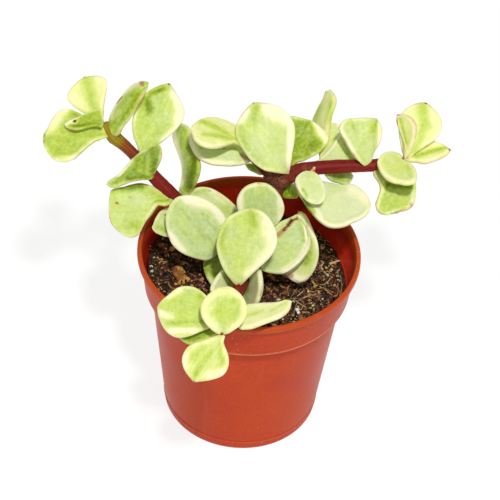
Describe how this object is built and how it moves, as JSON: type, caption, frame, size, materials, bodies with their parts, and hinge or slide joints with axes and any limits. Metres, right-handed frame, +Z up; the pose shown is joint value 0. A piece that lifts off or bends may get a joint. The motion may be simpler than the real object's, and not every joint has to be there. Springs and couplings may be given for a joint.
{
  "type": "potted elephant bush",
  "caption": "Small variegated elephant bush, a succulent with round fleshy cream-edged leaves on maroon stems, growing in a round terracotta-coloured plastic nursery pot.",
  "frame": {"origin": "the middle of the pot's flat base, on the pot's axis", "axes": "+Z up along the pot's axis; +X to the right and -Y towards the viewer in the pictured view"},
  "size_m": [0.0992, 0.072, 0.0877],
  "materials": {
    "leaf": "fleshy leaf, satin with a faint bloom, cream edge and thin pink margin",
    "young_stem": "smooth maroon bark, satin",
    "woody_stem": "rough brown bark, matte",
    "potting_mix": "dark peat with bark and fibre, matte",
    "pot_plastic": "thin terracotta-coloured plastic, satin, slightly translucent",
    "bark": "rough bark",
    "perlite": "white, matte"
  },
  "bodies": {
    "root": {"bark_chip_1": "bark", "bark_chip_2": "bark", "bark_chip_3": "bark", "leaf_front_1": "leaf", "leaf_front_2": "leaf", "leaf_front_3": "leaf", "leaf_front_4": "leaf", "leaf_front_5": "leaf", "leaf_left_1": "leaf", "leaf_left_2": "leaf", "leaf_left_3": "leaf", "leaf_left_4": "leaf", "leaf_left_5": "leaf", "leaf_left_6": "leaf", "leaf_left_7": "leaf", "leaf_left_8": "leaf", "leaf_middle_1": "leaf", "leaf_middle_10": "leaf", "leaf_middle_2": "leaf", "leaf_middle_3": "leaf", "leaf_middle_4": "leaf", "leaf_middle_5": "leaf", "leaf_middle_6": "leaf", "leaf_middle_7": "leaf", "leaf_middle_8": "leaf", "leaf_middle_9": "leaf", "leaf_right_1": "leaf", "leaf_right_2": "leaf", "leaf_right_3": "leaf", "leaf_right_4": "leaf", "leaf_right_5": "leaf", "leaf_right_6": "leaf", "leaf_right_7": "leaf", "leaf_right_8": "leaf", "leaf_right_9": "leaf", "leaf_top_1": "leaf", "leaf_top_2": "leaf", "leaf_top_3": "leaf", "leaf_top_4": "leaf", "leaf_top_5": "leaf", "leaf_top_6": "leaf", "leaf_top_7": "leaf", "leaf_top_8": "leaf", "leaf_top_9": "leaf", "perlite_1": "perlite", "perlite_2": "perlite", "perlite_3": "perlite", "pot": "pot_plastic", "soil": "potting_mix", "stem_front": "young_stem", "stem_left": "young_stem", "stem_middle": "young_stem", "stem_right": "young_stem", "stem_top": "young_stem", "trunk": "woody_stem"}
  },
  "joints": []
}
